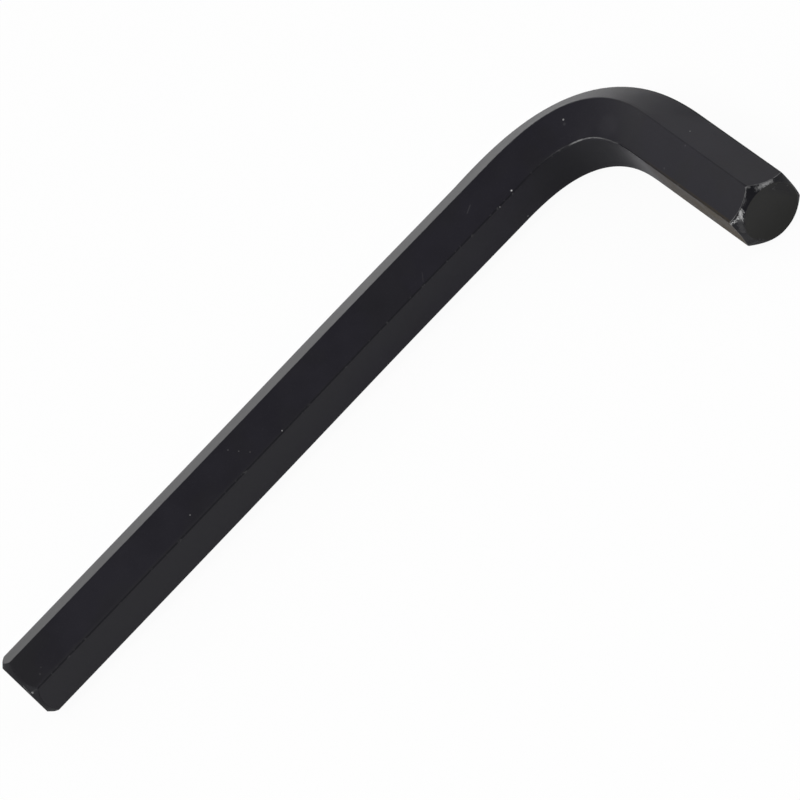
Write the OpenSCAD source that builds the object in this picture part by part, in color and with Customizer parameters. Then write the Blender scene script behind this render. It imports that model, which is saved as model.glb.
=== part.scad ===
// Hexagon key: one length of hexagonal steel bar with a single right-angle bend.
// It lies flat, with the bend in the plane of the floor. Two opposite corners of the bar
// point up and down, so two of its flats face into and out of the bend.
// X runs along the long arm and Y along the short arm, both towards the tips.
// The origin is on the floor, below the middle of the rectangle that encloses the key.

/* [Bar] */
// Size across the flats, which is the size of the key
across_flats = 10; // [5:0.5:14]
// How far each corner is drawn down from a sharp hexagon
corner_drop = 0.09; // [0.03:0.01:0.2]

/* [Arms] */
// Long arm, from the back of the short arm to the tip
long_arm = 122; // [80:1:240]
// Short arm, from the back of the long arm to the tip
short_arm = 50; // [40:1:90]

/* [Bend] */
// Radius on the inner side of the bend
bend_radius = 11; // [5:0.5:16]
// How far the bending former presses in the outer side, at the middle of the bend
bend_flattening = 0.75; // [0.2:0.05:1.5]

/* [Tips] */
// Length of the chamfer along the middle of each flat
chamfer_on_flat = 0.65; // [0.1:0.05:1]
// Angle between the chamfer and the end face
chamfer_angle = 45; // [30:1:60]

/* [Hidden] */
$fn = 96;

sharp_corners = across_flats / cos(30);
across_corners = sharp_corners - 2 * corner_drop;
half_flats = across_flats / 2;
half_corners = across_corners / 2;

// Radius at the middle of the bar, and of the flattened arc on the outer side, which
// touches the outer flats of both arms
centre_radius = bend_radius + half_flats;
outer_radius = bend_radius + across_flats + bend_flattening / (sqrt(2) - 1);
outer_arc_centre = outer_radius - half_flats;

// Straight stretches between the bend and the end faces
long_straight = long_arm - half_flats - centre_radius;
short_straight = short_arm - half_flats - centre_radius;

// The end face is a circle, where the chamfer's cone stops
end_face_radius = half_flats - chamfer_on_flat / tan(chamfer_angle);

// Room by which the cutting shapes pass the bar
spare = across_flats;

// Section of the bar, with corners up and down and flats to the sides
module bar_section() {
    intersection() {
        rotate(90) circle(d = sharp_corners, $fn = 6);
        circle(d = across_corners);
    }
}

// Straight stretch of bar from the origin along +X
module straight(length) {
    rotate([90, 0, 90]) linear_extrude(length) bar_section();
}

// Quarter turn that joins the two straight stretches, round the point
// [centre_radius, centre_radius]
module quarter_turn() {
    translate([centre_radius, centre_radius, 0])
        rotate([0, 0, 180])
            rotate_extrude(angle = 90)
                translate([centre_radius, 0]) bar_section();
}

// Bent bar with square ends. The middle lines of the arms cross at the origin.
module bent_bar() {
    translate([centre_radius, 0, 0]) straight(long_straight);
    translate([0, centre_radius, 0]) mirror([1, -1, 0]) straight(short_straight);
    quarter_turn();
}

// Everything that the former leaves: outside it lies only the strip between the
// concentric outer side of the bend and the flattened arc
module inside_former() {
    translate([0, 0, -across_corners])
        linear_extrude(2 * across_corners) {
            translate([outer_arc_centre, outer_arc_centre]) circle(r = outer_radius);
            translate([outer_arc_centre, -half_flats - spare])
                square([long_arm + spare, short_arm + 2 * spare]);
            translate([-half_flats - spare, outer_arc_centre])
                square([long_arm + 2 * spare, short_arm + spare]);
        }
}

// Ring that cuts the chamfer on a tip which ends at the origin and points along +X
module chamfer_ring() {
    cut_length = half_corners * tan(chamfer_angle);
    rotate([0, -90, 0])
        difference() {
            translate([0, 0, -spare]) cylinder(r = half_corners + spare, h = spare + cut_length);
            cylinder(
                r1 = end_face_radius,
                r2 = end_face_radius + half_corners,
                h = cut_length
            );
            translate([0, 0, -2 * spare]) cylinder(r = end_face_radius, h = 2 * spare);
        }
}

// Key with the middle lines of its arms crossing at the origin
module key_at_crossing() {
    difference() {
        intersection() {
            bent_bar();
            inside_former();
        }
        translate([centre_radius + long_straight, 0, 0]) chamfer_ring();
        mirror([1, -1, 0]) translate([centre_radius + short_straight, 0, 0]) chamfer_ring();
    }
}

module hex_key() {
    color([0.17, 0.17, 0.18])
        translate([half_flats - long_arm / 2, half_flats - short_arm / 2, half_corners])
            key_at_crossing();
}

hex_key();
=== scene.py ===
import math

import bmesh
import bpy
from mathutils import Matrix, Vector


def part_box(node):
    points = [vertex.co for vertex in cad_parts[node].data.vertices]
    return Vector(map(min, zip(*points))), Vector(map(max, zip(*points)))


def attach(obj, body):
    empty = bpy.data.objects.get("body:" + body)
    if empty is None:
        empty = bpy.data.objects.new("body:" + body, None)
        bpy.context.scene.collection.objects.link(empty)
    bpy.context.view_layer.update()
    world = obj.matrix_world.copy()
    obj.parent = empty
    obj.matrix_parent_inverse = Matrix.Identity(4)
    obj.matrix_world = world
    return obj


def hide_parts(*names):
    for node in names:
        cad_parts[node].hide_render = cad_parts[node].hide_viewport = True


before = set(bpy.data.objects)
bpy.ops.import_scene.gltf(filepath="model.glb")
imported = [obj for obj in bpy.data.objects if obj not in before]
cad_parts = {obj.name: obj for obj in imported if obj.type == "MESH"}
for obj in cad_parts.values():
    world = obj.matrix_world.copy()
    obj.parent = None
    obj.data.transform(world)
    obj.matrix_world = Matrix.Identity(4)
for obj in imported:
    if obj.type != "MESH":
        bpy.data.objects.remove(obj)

# One millimetre in the frame's metres
MM = 0.001

# Bar and arms, in millimetres, as in the part's source
ACROSS_FLATS = 10
LONG_ARM = 122
SHORT_ARM = 50
CORNER_DROP = 0.09
HALF_FLATS = ACROSS_FLATS / 2
SHARP_CORNER = HALF_FLATS / math.cos(math.radians(30))
HALF_CORNERS = SHARP_CORNER - CORNER_DROP

# Bend. The section is swept round a point that lies this far inside both arms. Each line along the
# bar then gets its own reach, because the bending former presses the outer side in. The power above
# 2 gathers the turn in the middle of the bend.
CENTRE_RADIUS = 16
LONG_STRAIGHT = LONG_ARM - HALF_FLATS - CENTRE_RADIUS
SHORT_STRAIGHT = SHORT_ARM - HALF_FLATS - CENTRE_RADIUS
INNER_REACH = 13.5
LOW_INNER_REACH = 14.8
RIDGE_REACH = 17.5
OUTER_REACH = 29.5
BEND_POWER = 2.6
# How far the section swells or sinks at the middle of the bend, at its inner, ridge and outer corners
INNER_SWELL = 0.3
RIDGE_SWELL = -0.35
OUTER_SWELL = 0.5
# Small knee that the former leaves on the upper inner corner: where, how long and how high
KNEE_TURN = math.radians(54)
KNEE_SPAN = math.radians(12)
KNEE_RISE = 0.4

# The long arm's section is turned a little about its middle line, with the upper ridge towards the
# inside of the bend. Its size is this share of the short arm's at the tip and where the bend starts.
LONG_ROLL = math.radians(2.3)
TIP_SHARE = 0.986
NECK_SHARE = 0.974
# Slight bow of the long arm, away from the short arm: how far, where along the arm and how long
BOW = 0.2
BOW_PLACE = 42
BOW_LENGTH = 22

# Tips. Each has its end face's radius, how far the face sits off the middle line towards the inside
# of the bend, how much it leans, and how far its middle is set back.
LONG_TIP = (4.35, 0.0, 0.0, 0.0)
SHORT_TIP = (4.48, -0.25, 0.1, 0.45)
# Rounding of the edges where the chamfer meets the flats and the end face
CHAMFER_ROUNDING = 0.09
FACE_ROUNDING = 0.015

# Corner rounding, as a length along each flat, at the ridges and at the corners on the inner and the
# outer side of the bend. An arc over a 120 degree corner lies this share of that length below it.
RIDGE_ROUNDING = 0.16
INNER_ROUNDING = 0.2
OUTER_ROUNDING = 0.1
ARC_DROP = 2 - math.sqrt(3)
# How far from a side corner the finish still counts as worn, and as painted shade
CORNER_WIDTH = 1.3 * INNER_ROUNDING

# Fineness of the mesh: faces round a corner and a tip's edge, cuts across a flat, steps along the bar
CORNER_STEPS = 4
TIP_ROUNDING_STEPS = 2
FLAT_CUTS = 9
BEND_STEPS = 36
SHORT_STEPS = 8
LONG_STEPS = 24
# Points that lie closer than this are merged
MERGED = 0.002
# How much the large faces lead the shading, so that the flats look flat up to their corners
FLAT_WEIGHT = 100

# Finished key, in millimetres: where the ends, the middle lines and the inside flats of the two arms
# lie, and the height of the bar's middle
LONG_END = LONG_ARM / 2
SHORT_END = SHORT_ARM / 2
LONG_MIDDLE = HALF_FLATS - SHORT_ARM / 2
SHORT_MIDDLE = HALF_FLATS - LONG_ARM / 2
LONG_INSIDE = ACROSS_FLATS - SHORT_ARM / 2
SHORT_INSIDE = ACROSS_FLATS - LONG_ARM / 2
KEY_MIDDLE = HALF_CORNERS

# Colours of the finish
OXIDE_DARK = (0.0086, 0.0078, 0.0123, 1)
OXIDE_LIGHT = (0.0113, 0.0104, 0.0156, 1)
OXIDE_OLIVE = (0.0104, 0.0103, 0.0093, 1)
OXIDE_SPECKLE = (0.024, 0.024, 0.028, 1)
# Paler oxide on the long arm's inner flat away from the bend, so that near the bend it reads as painted
# shade
UNSHADED_INNER_FLAT = (0.0146, 0.0142, 0.0172, 1)
CUT_END = (0.0145, 0.0143, 0.0137, 1)
CUT_END_LOW = (0.0085, 0.0085, 0.0075, 1)
BROWN_OXIDE = (0.033, 0.024, 0.013, 1)
# Darkest colour of the oxide, used as painted shade in the bend's crook, on the tips' chamfers and along
# the side corners
PAINTED_SHADE = (0.006, 0.006, 0.008, 1)
# Pale steel for worn marks, also used for painted highlights and sheen on some of them
BARE_STEEL_AND_GLINT = (0.4, 0.4, 0.4, 1)
PALE_SPECK = (0.5, 0.5, 0.5, 1)

# Noise of the finish: how many clouds to the metre, their detail and their roughness
GRAIN = (4800, 2.0, 0.6)
CLOUDS = (160, 3.0, 0.55)
PATCHES = (110, 2.0, 0.5)
STAINS = (300, 2.0, 0.5)
CHIPS = (1300, 3.0, 0.65)
CRUMBS = (4200, 2.0, 0.5)
NOISE_MIDDLE = 0.5

# Levels of the noise, or of the nearness to a corner, between which each effect comes in
CLOUD_LEVELS = (0.3, 0.7)
SPECKLE_LEVELS = (0.55, 0.78)
PATCH_LEVELS = (0.48, 0.62)
STAIN_LEVELS = (0.35, 0.65)
NICK_LEVELS = (0.58, 0.7)
SCUFF_GLINT_LEVELS = (0.2, 0.5)
EDGE_LEVELS = (0.4, 0.6)
FLAKE_LEVELS = (0.3, 0.62)
CORNER_LEVELS = (0.1, 0.5)
CORNER_LINE_LEVELS = (0.35, 0.75)

# Strength of each effect. The brown, the worn edge and a rub with its painted sheen keep at least their
# share where the noise is low, and a rub with its sheen gains more where it is high.
SPECKLE_STRENGTH = 0.35
OLIVE_STRENGTH = 0.2
WALL_SHADE_STRENGTH = 0.8
CORNER_SHADE_STRENGTH = 0.6
NICK_STRENGTH = 0.06
EDGE_STRENGTH = 0.2
BROWN_LEAST = 0.55
EDGE_LEAST = 0.5
RUB_SHEEN_LEAST = 0.4
RUB_SHEEN_GAIN = 1.1
# How far the crumbling shifts the rim of a flake or a rub, in millimetres
CRUMBLING = 0.9

# Roughness of the oxide, and what each place adds to it or takes from it
ROUGHNESS = 0.42
CLOUD_ROUGHNESS = 0.08
BROWN_ROUGHNESS = 0.2
WALL_ROUGHNESS = 0.14
CORNER_ROUGHNESS = -0.16
SHORT_CHAMFER_ROUGHNESS = -0.2
LOW_CHAMFER_ROUGHNESS = 0.5
LONG_CHAMFER_ROUGHNESS = 0.3
# Relief of the grain, with its height in millimetres, and the gloss of the oxide
RELIEF_STRENGTH = 0.3
RELIEF_HEIGHT = 0.02
OXIDE_REFRACTION = 1.45
OXIDE_GLOSS = 0.2

# Stretches over which a mask goes from 0 to 1, in millimetres along X, Y or Z
CROOK_EDGE = (LONG_INSIDE - 0.5, LONG_INSIDE - 0.1)
CROOK_START = (-42, -15)
WALL_START = (-52, -51.2)
WALL_END = (-46, -34)
WALL_SIDE = (-9, -3)
WALL_TOP = (8.4, 9)
OLIVE_START = (50, 60)
BROWN_EDGE = (SHORT_INSIDE - 0.5, SHORT_INSIDE - 0.1)
BROWN_START = (-1, 8)
CUT_END_RISE = (2, 9)
CHAMFER_RISE = (3.5, 7)
# The same at a tip, counted from its end face or its chamfer: the tip, face, chamfer and edge
TIP_START = (-3, -2.5)
FACE_START = (-0.05, -0.01)
CONE_START = (-0.09, -0.04)
EDGE_START = (-0.22, -0.12)

# Share of a small mark's radius within which it has its full strength
MARK_CORE = 0.35
# Pale specks and short scratches, and one broad faint spot that lightens the middle face in the bend near
# the knee: place, radius in millimetres and strength
SPECKS = (
    (-48.8, -15.88, 10.24, 0.19, 0.5),
    (-48.42, -15.35, 9.98, 0.3, 0.03),
    (-36.6, -15.4, 8.5, 0.17, 1.0),
    (-33.8, -15.11, 8.18, 0.12, 0.4),
    (-35.95, -15.28, 3.22, 0.12, 0.3),
    (-57.93, 5.85, 10.34, 0.14, 0.35),
    (-51.8, 5.85, 9.03, 0.2, 0.05),
    (-55.69, 8.33, 11.28, 0.2, 0.05),
    (57.96, -16.02, 8.99, 0.2, 0.04),
    (57.2, -16.52, 9.3, 0.15, 0.04),
    (-51.8, -8.6, 9.59, 2.4, 0.01),
    (17.2, -18.49, 10.48, 0.12, 0.15),
    (16.29, -17.42, 9.81, 0.12, 0.15),
    (15.3, -16.33, 9.13, 0.12, 0.12),
    (27.47, -16.27, 9.12, 0.13, 0.35),
    (10.06, -15.31, 8.47, 0.14, 0.5),
    (60.55, -15.73, 7.86, 0.25, 0.3),
)
# Stretch of the inner corner in the bend that is rubbed bright, with a painted highlight of the side lamp
# on it
CORNER_SCUFFS_AND_GLINT = (
    (-47.62, -12.07, 8.76, 1.6, 0.38),
    (-49.39, -9.81, 8.97, 2.2, 0.25),
    (-50.7, -7.0, 8.9, 2.4, 0.14),
)
# Faint scratches, and a painted highlight at the short tip's ridge end: from, to, radius in millimetres
# and strength
SCRATCHES_AND_GLINT = (
    ((-31.19, -17.9, 10.04), (-30.06, -17.47, 9.77), 0.11, 0.05),
    ((-19.59, -16.4, 9.06), (-18.76, -15.55, 8.53), 0.1, 0.03),
    ((60.75, -16.84, 9.02), (60.87, -16.04, 7.78), 0.1, 0.12),
    # Painted highlight where the short tip's upper ridge meets its chamfer
    ((-55.8, 23.7, 11.32), (-56.2, 24.1, 11.18), 0.2, 0.17),
    ((-55.4, 24.05, 11.05), (-54.85, 24.28, 10.72), 0.14, 0.13),
)
# Places on the short tip's chamfer where the finish has flaked off, and where it is rubbed and carries
# a painted sheen: from, to, radius in millimetres and strength
CHAMFER_FLAKES = (
    ((-53.15, 24.46, 9.5), (-52.35, 24.3, 8.85), 0.46, 0.9),
    ((-52.75, 24.6, 8.9), (-52.4, 24.6, 8.3), 0.22, 0.6),
    ((-52.4, 24.3, 8.8), (-51.0, 23.4, 8.35), 0.17, 0.8),
)
CHAMFER_RUBS_AND_SHEEN = (
    ((-56.8, 24.65, 10.5), (-57.6, 24.8, 10.15), 0.55, 0.13),
    ((-57.15, 24.65, 10.4), (-59.0, 24.6, 9.65), 0.42, 0.28),
    ((-52.1, 24.3, 8.3), (-51.6, 24.25, 6.8), 0.62, 0.06),
)

# Camera of the photograph, in millimetres and degrees
CAMERA_PLACE = (63.92, 753.37, 641.51)
CAMERA_AIM = (-3.782, -1.743, 8.165)
CAMERA_ROLL = 42.93
CAMERA_LENS = 320.85

# Light. The room has a white sweep up to a little above the horizon, and is darker above and behind
# the camera. The sweep ends between two sines of the height, and the dark side lies round a direction
# and comes in between two cosines of the angle from it.
WHITE = (1, 1, 1, 1)
SWEEP_TOP = 0.0
SWEEP_END = 0.06
ROOM_LEVEL = 0.56
DARK_SIDE = (0.06, 0.62, 0.78)
DARK_SIDE_LEVEL = 0.34
DARK_SIDE_EDGE = 0.25
DARK_SIDE_MIDDLE = 0.9
# Lamps, which point at the key: place, width and height in metres, and watts
LAMPS = {
    "front_lamp": ((0.6, 0.5, 0.98), 0.5, 0.5, 5.5),
    "sweep_lamp": ((-0.36, -1.1, 0.06), 0.4, 0.12, 1.4),
    "tip_lamp": ((-0.02, -1.1, 0.06), 0.3, 0.12, 0.38),
    "side_lamp": ((1.25, 0.12, 0.07), 0.95, 0.12, 8.2),
    "back_lamp": ((-0.93, 0.66, 0.53), 0.5, 0.4, 5),
    "far_lamp": ((0.35, -0.97, 0.65), 0.8, 0.5, 1.2),
}

# Paper under the key: how far it reaches, in metres, its colour, roughness and gloss, and how much
# pure white it shows to the camera and in reflections
PAPER_REACH = 4
PAPER = (0.88, 0.88, 0.88, 1)
PAPER_ROUGHNESS = 0.9
PAPER_GLOSS = 0.2
FLOOR_GLOW = 0.95
REFLECTED_GLOW = 0.35


class Wire:
    """A socket of a shader, so that masks and patterns are written as sums and products."""

    def __init__(self, shader, socket):
        self.shader = shader
        self.socket = socket

    def _maths(self, operation, *values):
        return self.shader.node("ShaderNodeMath", {"operation": operation}, dict(enumerate(values)))

    def __add__(self, other):
        return self._maths("ADD", self, other)

    def __radd__(self, other):
        return self._maths("ADD", other, self)

    def __sub__(self, other):
        return self._maths("SUBTRACT", self, other)

    def __rsub__(self, other):
        return self._maths("SUBTRACT", other, self)

    def __mul__(self, other):
        return self._maths("MULTIPLY", self, other)

    def __rmul__(self, other):
        return self._maths("MULTIPLY", other, self)

    def __pow__(self, other):
        return self._maths("POWER", self, other)

    def __rpow__(self, other):
        return self._maths("POWER", other, self)


class Shader:
    """The node tree of one material or of the world."""

    def __init__(self, tree):
        self.tree = tree
        self.tree.nodes.clear()

    def node(self, kind, settings=None, values=None, output=0):
        """Adds a node with its settings and the values or links of its sockets. Returns an output."""
        made = self.tree.nodes.new(kind)
        for name, setting in (settings or {}).items():
            setattr(made, name, setting)
        for name, value in (values or {}).items():
            if isinstance(value, Wire):
                self.tree.links.new(value.socket, made.inputs[name])
            else:
                made.inputs[name].default_value = value
        return Wire(self, made.outputs[output]) if made.outputs else None

    def mix(self, factor, first, second):
        """Colour that goes from the first to the second as the factor goes from 0 to 1."""
        return self.node("ShaderNodeMix", {"data_type": "RGBA"}, {0: factor, 6: first, 7: second}, 2)

    def vector(self, operation, first, second):
        """Vector maths. SCALE takes a number second. A distance and a dot product are numbers."""
        second_input = "Scale" if operation == "SCALE" else 1
        output = "Value" if operation in ("DISTANCE", "DOT_PRODUCT") else "Vector"
        values = {0: first, second_input: second}
        return self.node("ShaderNodeVectorMath", {"operation": operation}, values, output)

    def ramp(self, value, low, high):
        """0 at the low value and 1 at the high one, with a smooth step between."""
        return self.node(
            "ShaderNodeMapRange",
            {"interpolation_type": "SMOOTHSTEP"},
            {"Value": value, "From Min": low, "From Max": high},
        )

    def past(self, value, stretch):
        """0 before a stretch that is given in millimetres, and 1 past it."""
        start, end = stretch
        return self.ramp(value, start * MM, end * MM)


def noise(shader, place, pattern, output=0):
    """Cloudy pattern from 0 to 1, or its colour."""
    scale, detail, rough = pattern
    values = {"Vector": place, "Scale": scale, "Detail": detail, "Roughness": rough}
    return shader.node("ShaderNodeTexNoise", {}, values, output)


def spots(shader, place, rows):
    """Each row's strength on its small round mark, and 0 elsewhere. Sizes are in millimetres."""
    total = 0
    for x, y, z, radius, strength in rows:
        away = shader.vector("DISTANCE", place, Vector((x, y, z)) * MM)
        total = total + shader.past(away, (radius, radius * MARK_CORE)) * strength
    return total


def streaks(shader, place, rows):
    """Each row's strength on its straight mark, and 0 elsewhere. Sizes are in millimetres."""
    total = 0
    for start, end, radius, strength in rows:
        run = (Vector(end) - Vector(start)) * MM
        from_start = shader.vector("SUBTRACT", place, Vector(start) * MM)
        share = shader.vector("DOT_PRODUCT", from_start, run / run.length_squared)
        share = shader.node("ShaderNodeClamp", {}, {"Value": share})
        away = shader.vector("DISTANCE", from_start, shader.vector("SCALE", run, share))
        total = total + shader.past(away, (radius, radius * MARK_CORE)) * strength
    return total


def tip_marks(shader, along, across, height, end, middle, tip):
    """Masks for a tip: its end face, its chamfer, and the thin edge where the flats begin."""
    face_radius, off, lean, setback = tip
    aside = across - (middle + off) * MM
    up = height - KEY_MIDDLE * MM
    radius = (aside * aside + up * up) ** 0.5
    past_face = along - (end - setback) * MM - up * lean
    past_cone = past_face + radius - face_radius * MM
    near = shader.past(past_face, TIP_START)
    face = shader.past(past_face, FACE_START)
    cone = shader.past(past_cone, CONE_START) * near
    edge = shader.past(past_cone, EDGE_START) * near * (1 - cone) * (1 - face)
    return face, cone * (1 - face), edge


def oxide_with_crook_shade(shader, place, x, crook, grain, cloud):
    """The oxide without wear: clouds, fine speckle, olive patches, and painted shade that leaves the long
    arm's inner flat darker near the bend than further along.
    """
    colour = shader.mix(shader.ramp(cloud, *CLOUD_LEVELS), OXIDE_DARK, OXIDE_LIGHT)
    speckle = shader.ramp(grain, *SPECKLE_LEVELS)
    colour = shader.mix(speckle * SPECKLE_STRENGTH, colour, OXIDE_SPECKLE)
    patches = shader.ramp(noise(shader, place, PATCHES), *PATCH_LEVELS)
    olive = patches + shader.past(x, OLIVE_START)
    colour = shader.mix(olive * OLIVE_STRENGTH, colour, OXIDE_OLIVE)
    # Painted shade: the inner flat is paler away from the bend and darker near it.
    return shader.mix(crook * shader.past(x, CROOK_START), colour, UNSHADED_INNER_FLAT)


def wall_painted_shade(shader, x, y, z, crook):
    """Mask for painted shade on the inner flat in the bend, below its rubbed, glinting corner, where the
    crook lies in shade.
    """
    along = shader.past(x, WALL_START) * (1 - shader.past(x, WALL_END))
    return crook * along * (1 - shader.past(y, WALL_SIDE)) * (1 - shader.past(z, WALL_TOP))


def brown_tinge(shader, place, x, y):
    """Mask for the inside flat of the short arm, where the oxide is brown and a little stained."""
    inside = shader.past(x, BROWN_EDGE) * shader.past(y, BROWN_START)
    stains = shader.ramp(noise(shader, place, STAINS), *STAIN_LEVELS)
    return inside * (BROWN_LEAST + (1 - BROWN_LEAST) * stains)


def chamfer_wear_and_sheen(shader, place, chipped):
    """Mask for the flakes on the short tip's chamfer and for its rubs with their painted sheen, with
    crumbled rims.
    """
    crumbs = shader.vector("SUBTRACT", noise(shader, place, CRUMBS, "Color"), (NOISE_MIDDLE,) * 3)
    crumbled = shader.vector("ADD", place, shader.vector("SCALE", crumbs, CRUMBLING * MM))
    flakes = shader.ramp(chipped, *FLAKE_LEVELS) * streaks(shader, crumbled, CHAMFER_FLAKES)
    rubs_and_sheen = (RUB_SHEEN_LEAST + RUB_SHEEN_GAIN * chipped) * streaks(shader, crumbled, CHAMFER_RUBS_AND_SHEEN)
    return flakes + rubs_and_sheen


def new_material(name):
    """Empty material, with the shader that its nodes go into."""
    material = bpy.data.materials.new(name)
    material.use_nodes = True
    return material, Shader(material.node_tree)


def black_oxide():
    """Black-oxide steel with a satin sheen, worn on its corners and a little marked, with painted shade in
    the crook, on the chamfers and along the side corners, and painted highlights and sheen on some of its
    pale marks.
    """
    material, shader = new_material("black_oxide")
    place = shader.node("ShaderNodeTexCoord", output="Object")
    x, y, z = (shader.node("ShaderNodeSeparateXYZ", {}, {0: place}, name) for name in "XYZ")
    nearness = shader.node("ShaderNodeAttribute", {"attribute_name": "corner"}, output="Fac")
    corner_line = shader.ramp(nearness, *CORNER_LINE_LEVELS)
    corner = shader.ramp(nearness, *CORNER_LEVELS)
    grain = noise(shader, place, GRAIN)
    cloud = noise(shader, place, CLOUDS)
    chipped = noise(shader, place, CHIPS)

    crook = shader.past(y, CROOK_EDGE)
    colour = oxide_with_crook_shade(shader, place, x, crook, grain, cloud)
    shaded_wall = wall_painted_shade(shader, x, y, z, crook)
    # Painted shade: the inner flat in the bend is darkened, where the crook lies in shade.
    colour = shader.mix(shaded_wall * WALL_SHADE_STRENGTH, colour, PAINTED_SHADE)

    short_face, short_chamfer, short_edge = tip_marks(
        shader, y, x, z, SHORT_END, SHORT_MIDDLE, SHORT_TIP
    )
    long_face, long_chamfer, _ = tip_marks(shader, x, y, z, LONG_END, LONG_MIDDLE, LONG_TIP)
    # The end faces are darker towards the bottom.
    cut_end = shader.mix(1 - shader.past(z, CUT_END_RISE), CUT_END, CUT_END_LOW)
    colour = shader.mix(short_face + long_face, colour, cut_end)
    # Painted shade: the chamfers of both tips are darkened.
    colour = shader.mix(short_chamfer + long_chamfer, colour, PAINTED_SHADE)

    brown = brown_tinge(shader, place, x, y) * (1 - short_chamfer)
    colour = shader.mix(brown, colour, BROWN_OXIDE)
    # Painted shade: the side corners are darkened along their rounding.
    colour = shader.mix(corner * CORNER_SHADE_STRENGTH, colour, PAINTED_SHADE)

    nicks = corner * shader.ramp(chipped, *NICK_LEVELS) * NICK_STRENGTH
    # Rubbed corner in the bend, with a painted highlight.
    scuffs_and_glint = corner_line * spots(shader, place, CORNER_SCUFFS_AND_GLINT) * shader.ramp(cloud, *SCUFF_GLINT_LEVELS)
    edge_wear = short_edge * (EDGE_LEAST + shader.ramp(chipped, *EDGE_LEVELS)) * EDGE_STRENGTH
    # Flakes, and rubs with a painted sheen, on the short tip's chamfer.
    worn_chamfer_and_sheen = short_chamfer * chamfer_wear_and_sheen(shader, place, chipped)
    bare_and_glint = nicks + scuffs_and_glint + edge_wear + worn_chamfer_and_sheen + streaks(shader, place, SCRATCHES_AND_GLINT)
    # Pale marks: worn nicks, edges, flakes and scratches, with painted highlights and sheen in some of
    # them.
    colour = shader.mix(bare_and_glint, colour, BARE_STEEL_AND_GLINT)
    colour = shader.mix(spots(shader, place, SPECKS), colour, PALE_SPECK)

    rough = ROUGHNESS + (cloud - NOISE_MIDDLE) * CLOUD_ROUGHNESS + brown * BROWN_ROUGHNESS
    rough = rough + shaded_wall * WALL_ROUGHNESS + corner * CORNER_ROUGHNESS
    low_chamfer = short_chamfer * (1 - shader.past(z, CHAMFER_RISE))
    rough = rough + short_chamfer * SHORT_CHAMFER_ROUGHNESS + low_chamfer * LOW_CHAMFER_ROUGHNESS
    rough = rough + long_chamfer * LONG_CHAMFER_ROUGHNESS
    relief = shader.node(
        "ShaderNodeBump",
        {},
        {"Strength": RELIEF_STRENGTH, "Distance": RELIEF_HEIGHT * MM, "Height": grain},
    )
    surface = shader.node(
        "ShaderNodeBsdfPrincipled",
        {},
        {
            "Base Color": colour,
            "Roughness": rough,
            "Normal": relief,
            "IOR": OXIDE_REFRACTION,
            "Specular IOR Level": OXIDE_GLOSS,
        },
    )
    shader.node("ShaderNodeOutputMaterial", {}, {"Surface": surface})
    return material


def looked_at(shader, seen=1.0, reflected=1.0):
    """One level for a ray from the camera, one for a ray in a reflection, and 0 for other rays."""
    camera, glossy, transmission = (
        shader.node("ShaderNodeLightPath", output="Is %s Ray" % kind)
        for kind in ("Camera", "Glossy", "Transmission")
    )
    return camera * seen + (glossy + transmission) * reflected


def pale_paper():
    """White paper that the key lies on. It shows nearly pure white where no shadow falls."""
    material, shader = new_material("pale_paper")
    surface = shader.node(
        "ShaderNodeBsdfPrincipled",
        {},
        {"Base Color": PAPER, "Roughness": PAPER_ROUGHNESS, "Specular IOR Level": PAPER_GLOSS},
    )
    glow = shader.node("ShaderNodeEmission", {}, {"Color": WHITE, "Strength": 1.0})
    shine = looked_at(shader, FLOOR_GLOW, REFLECTED_GLOW)
    paper = shader.node("ShaderNodeMixShader", {}, {0: shine, 1: surface, 2: glow})
    shader.node("ShaderNodeOutputMaterial", {}, {"Surface": paper})
    return material


def new_object(name, bm):
    """Object at the origin that takes over the shaped mesh."""
    mesh = bpy.data.meshes.new(name)
    bm.to_mesh(mesh)
    bm.free()
    made = bpy.data.objects.new(name, mesh)
    bpy.context.scene.collection.objects.link(made)
    return made


def bar_section(bm):
    """Wire loop of the bar's section at the origin, in the YZ plane, with corners up and down."""
    ring = bmesh.ops.create_circle(bm, cap_ends=True, segments=6, radius=SHARP_CORNER)["verts"]
    for degrees, axis in ((90, "Y"), (30, "X")):
        turn = Matrix.Rotation(math.radians(degrees), 3, axis)
        bmesh.ops.rotate(bm, verts=ring, cent=(0, 0, 0), matrix=turn)
    ridges = [v for v in bm.verts if abs(v.co.z) > HALF_FLATS]
    inner = [v for v in bm.verts if v.co.y > HALF_FLATS / 2]
    outer = [v for v in bm.verts if v.co.y < -HALF_FLATS / 2]
    for v in ridges:
        v.co.z = math.copysign(HALF_CORNERS + ARC_DROP * RIDGE_ROUNDING, v.co.z)
    for corners, length in ((ridges, RIDGE_ROUNDING), (inner, INNER_ROUNDING), (outer, OUTER_ROUNDING)):
        bmesh.ops.bevel(
            bm, geom=corners, affect="VERTICES", offset=length, offset_type="OFFSET",
            segments=CORNER_STEPS, profile=0.5, material=-1,
        )
    corner = bm.verts.layers.float.new("corner")
    for v in bm.verts:
        away = math.hypot(abs(v.co.y) - HALF_FLATS, abs(v.co.z) - SHARP_CORNER / 2)
        v[corner] = max(0, 1 - away / CORNER_WIDTH)
    flats = [e for e in bm.edges if e.calc_length() > HALF_FLATS / 2]
    for cut in bmesh.ops.subdivide_edges(bm, edges=flats, cuts=FLAT_CUTS)["geom_inner"]:
        if isinstance(cut, bmesh.types.BMVert):
            cut[corner] = 0
    bmesh.ops.delete(bm, geom=bm.faces[:], context="FACES_ONLY")
    return bm.edges[:]


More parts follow.
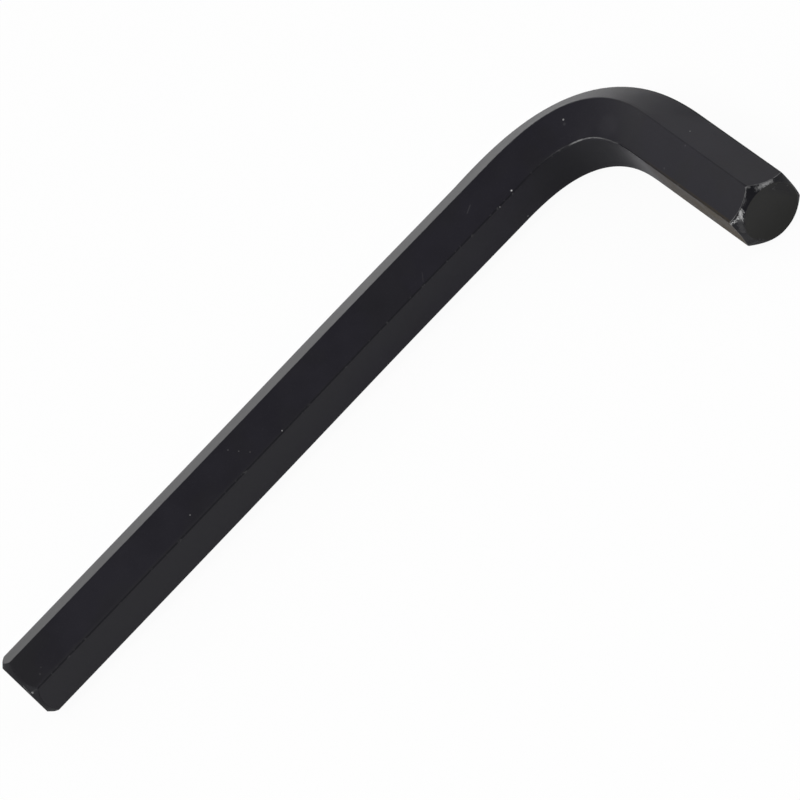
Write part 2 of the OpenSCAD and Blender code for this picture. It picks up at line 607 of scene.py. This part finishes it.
def draw_out(bm, loop, shift, steps=1):
    """Draws a loop of edges out along a straight line and returns the last loop."""
    for _ in range(steps):
        drawn = bmesh.ops.extrude_edge_only(bm, edges=loop)["geom"]
        verts = [g for g in drawn if isinstance(g, bmesh.types.BMVert)]
        loop = [g for g in drawn if isinstance(g, bmesh.types.BMEdge) and all(v in verts for v in g.verts)]
        bmesh.ops.translate(bm, verts=verts, vec=Vector(shift) / steps)
    return loop


def loop_verts(loop):
    """The points of a loop of edges, each once."""
    return list({v for e in loop for v in e.verts})


def off_ridge(inward):
    """0 for a line on the ridges and 1 for one on the inner or the outer flat."""
    return min(1, abs(inward) / HALF_FLATS)


def line_reach(inward, height):
    """How far a line along the bar turns from its corner, from where it lies in the section."""
    low = max(0, min(1, 0.5 - height / SHARP_CORNER))
    far = INNER_REACH + (LOW_INNER_REACH - INNER_REACH) * low if inward > 0 else OUTER_REACH
    return RIDGE_REACH + (far - RIDGE_REACH) * off_ridge(inward)


def swell(inward, height, turn):
    """How far the section swells outwards in height at that turn of the bend."""
    share = off_ridge(inward)
    far = INNER_SWELL if inward > 0 else OUTER_SWELL
    amount = (RIDGE_SWELL + (far - RIDGE_SWELL) * share) * math.sin(2 * turn)
    if inward > 0 and height > 0:
        amount += KNEE_RISE * share ** 2 * math.exp(-((turn - KNEE_TURN) / KNEE_SPAN) ** 2)
    surface = SHARP_CORNER - abs(inward) * math.tan(math.radians(30))
    return amount * height / surface


def roll_long_arm(bm):
    """Turns the long arm's section about its middle line. The turn runs out within the bend."""
    for v in bm.verts:
        x, y, z = v.co
        from_x, from_y = max(0, CENTRE_RADIUS - x), CENTRE_RADIUS - y
        if from_y <= 0:
            continue
        turn = math.atan2(from_x, from_y)
        fade = math.cos(turn) ** 2
        roll = LONG_ROLL * fade
        neck = 1 - max(0, x - CENTRE_RADIUS) / LONG_STRAIGHT
        size = 1 - (1 - TIP_SHARE + (TIP_SHARE - NECK_SHARE) * neck) * fade
        inward = CENTRE_RADIUS - math.hypot(from_x, from_y)
        moved = size * (inward * math.cos(roll) + z * math.sin(roll))
        bow = BOW * fade * math.exp(-((x - BOW_PLACE) / BOW_LENGTH) ** 2)
        if from_x > 0:
            v.co.x = CENTRE_RADIUS - (CENTRE_RADIUS - moved) * math.sin(turn)
        v.co.y = CENTRE_RADIUS - (CENTRE_RADIUS - moved) * math.cos(turn) - bow
        v.co.z = size * (z * math.cos(roll) - inward * math.sin(roll))


def press_bend(bm):
    """Moves each line of the swept bend on to its own arc, as the bending former leaves it. The
    lines of the straight arms are stretched to meet their arcs, and their tips stay in place."""
    for v in bm.verts:
        x, y, z = v.co
        from_x, from_y = CENTRE_RADIUS - x, CENTRE_RADIUS - y
        if from_x > 0 and from_y > 0:
            inward = CENTRE_RADIUS - math.hypot(from_x, from_y)
            turn = math.atan2(from_x, from_y)
            reach = line_reach(inward, z)
            across, along = math.sin(turn), math.cos(turn)
            curve = (across ** BEND_POWER + along ** BEND_POWER) ** (1 / BEND_POWER)
            v.co.x = inward + reach - reach * across / curve
            v.co.y = inward + reach - reach * along / curve
            v.co.z = z + swell(inward, z, turn)
        elif from_y > 0:
            slack = (LONG_ARM - HALF_FLATS - x) / LONG_STRAIGHT
            v.co.x = x + (y + line_reach(y, z) - CENTRE_RADIUS) * slack
        else:
            slack = (SHORT_ARM - HALF_FLATS - y) / SHORT_STRAIGHT
            v.co.y = y + (x + line_reach(x, z) - CENTRE_RADIUS) * slack


def finish_tip(bm, loop, axis, tip):
    """Chamfers the tip that ends in the loop at 45 degrees and closes it with a round end face.
    Returns the face's rim."""
    face_radius, off, lean, setback = tip
    across = 1 - axis
    rim = draw_out(bm, loop, (0, 0, 0))
    for v in loop_verts(loop):
        radius = math.hypot(v.co[across] - off, v.co.z)
        v.co[axis] += lean * v.co.z - setback - (radius - face_radius)
    for v in loop_verts(rim):
        radius = math.hypot(v.co[across] - off, v.co.z)
        v.co[across] = off + (v.co[across] - off) * face_radius / radius
        v.co.z *= face_radius / radius
        v.co[axis] += lean * v.co.z - setback
    bmesh.ops.contextual_create(bm, geom=rim)
    return rim


def swept_bar(bm):
    """The bent bar with open ends, its middle lines crossing at the origin. Returns the end loops."""
    section = bar_section(bm)
    bmesh.ops.translate(bm, verts=bm.verts[:], vec=(CENTRE_RADIUS, 0, 0))
    turned = bmesh.ops.spin(
        bm, geom=section, cent=(CENTRE_RADIUS, CENTRE_RADIUS, 0), axis=(0, 0, -1), dvec=(0, 0, 0),
        angle=math.radians(90), steps=BEND_STEPS, use_merge=False,
    )["geom_last"]
    short_start = [g for g in turned if isinstance(g, bmesh.types.BMEdge)]
    short_end = draw_out(bm, short_start, (0, SHORT_STRAIGHT, 0), SHORT_STEPS)
    long_end = draw_out(bm, section, (LONG_STRAIGHT, 0, 0), LONG_STEPS)
    roll_long_arm(bm)
    press_bend(bm)
    return long_end, short_end


def close_tips(bm, long_end, short_end):
    """Closes both ends of the bar and rounds the edges of their chamfers a little."""
    chamfer_edges = long_end + short_end
    rims = finish_tip(bm, long_end, 0, LONG_TIP) + finish_tip(bm, short_end, 1, SHORT_TIP)
    for edges, rounding in ((chamfer_edges, CHAMFER_ROUNDING), (rims, FACE_ROUNDING)):
        bmesh.ops.bevel(
            bm, geom=[e for e in edges if e.is_valid], affect="EDGES", offset=rounding,
            offset_type="OFFSET", segments=TIP_ROUNDING_STEPS, profile=0.5, material=-1,
            clamp_overlap=True,
        )
    bmesh.ops.remove_doubles(bm, verts=bm.verts[:], dist=MERGED)
    bmesh.ops.recalc_face_normals(bm, faces=bm.faces[:])


def make_key():
    """The whole key, swept from one section."""
    bm = bmesh.new()
    long_end, short_end = swept_bar(bm)
    close_tips(bm, long_end, short_end)
    low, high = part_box("hex_key")
    corner = Matrix.Translation((low.x, low.y, (low.z + high.z) / 2)) @ Matrix.Scale(MM, 4)
    place = corner @ Matrix.Translation((HALF_FLATS, HALF_FLATS, 0))
    bmesh.ops.transform(bm, matrix=place, verts=bm.verts[:])
    key = new_object("bent_key", bm)
    for face in key.data.polygons:
        face.use_smooth = True
    crisp = key.modifiers.new("crisp_flats", "WEIGHTED_NORMAL")
    crisp.mode = "FACE_AREA"
    crisp.weight = FLAT_WEIGHT
    key.data.materials.append(black_oxide())
    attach(key, "root")
    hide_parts("hex_key")


def make_floor():
    """The pale sheet that the key lies on."""
    bm = bmesh.new()
    bmesh.ops.create_grid(bm, x_segments=1, y_segments=1, size=PAPER_REACH)
    floor = new_object("paper", bm)
    floor.data.materials.append(pale_paper())


def make_world():
    """Room with a white sweep round the horizon, darker above and behind the camera."""
    world = bpy.data.worlds.new("white_room")
    bpy.context.scene.world = world
    world.use_nodes = True
    shader = Shader(world.node_tree)
    direction = shader.node("ShaderNodeTexCoord", output="Generated")
    towards = shader.vector("DOT_PRODUCT", direction, DARK_SIDE)
    dark = shader.ramp(towards, DARK_SIDE_EDGE, DARK_SIDE_MIDDLE)
    room = ROOM_LEVEL - dark * (ROOM_LEVEL - DARK_SIDE_LEVEL)
    height = shader.node("ShaderNodeSeparateXYZ", {}, {0: direction}, "Z")
    sweep = 1 - shader.ramp(height, SWEEP_TOP, SWEEP_END)
    level = room + looked_at(shader) * sweep * (1 - room)
    background = shader.node("ShaderNodeBackground", {}, {"Color": WHITE, "Strength": level})
    shader.node("ShaderNodeOutputWorld", {}, {"Surface": background})


def make_lamp(name, place, width, height, watts):
    """Soft lamp that points at the middle of the floor under the key."""
    lamp = bpy.data.lights.new(name, "AREA")
    lamp.energy = watts
    lamp.shape = "RECTANGLE"
    lamp.size = width
    lamp.size_y = height
    holder = bpy.data.objects.new(name, lamp)
    holder.location = place
    holder.rotation_euler = (-Vector(place)).to_track_quat("-Z", "Y").to_euler()
    bpy.context.scene.collection.objects.link(holder)


def make_camera():
    """Camera of the photograph."""
    camera = bpy.data.objects.new("camera", bpy.data.cameras.new("camera"))
    camera.data.lens = CAMERA_LENS
    place = Vector(CAMERA_PLACE) * MM
    aim = Vector(CAMERA_AIM) * MM
    upright = (aim - place).to_track_quat("-Z", "Y").to_matrix()
    roll = Matrix.Rotation(math.radians(-CAMERA_ROLL), 3, "Z")
    camera.matrix_world = Matrix.Translation(place) @ (upright @ roll).to_4x4()
    bpy.context.scene.collection.objects.link(camera)
    bpy.context.scene.camera = camera


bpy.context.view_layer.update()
make_camera()
make_world()
for lamp_name, lamp_values in LAMPS.items():
    make_lamp(lamp_name, *lamp_values)
make_floor()
make_key()
bpy.context.scene.view_settings.view_transform = "Standard"
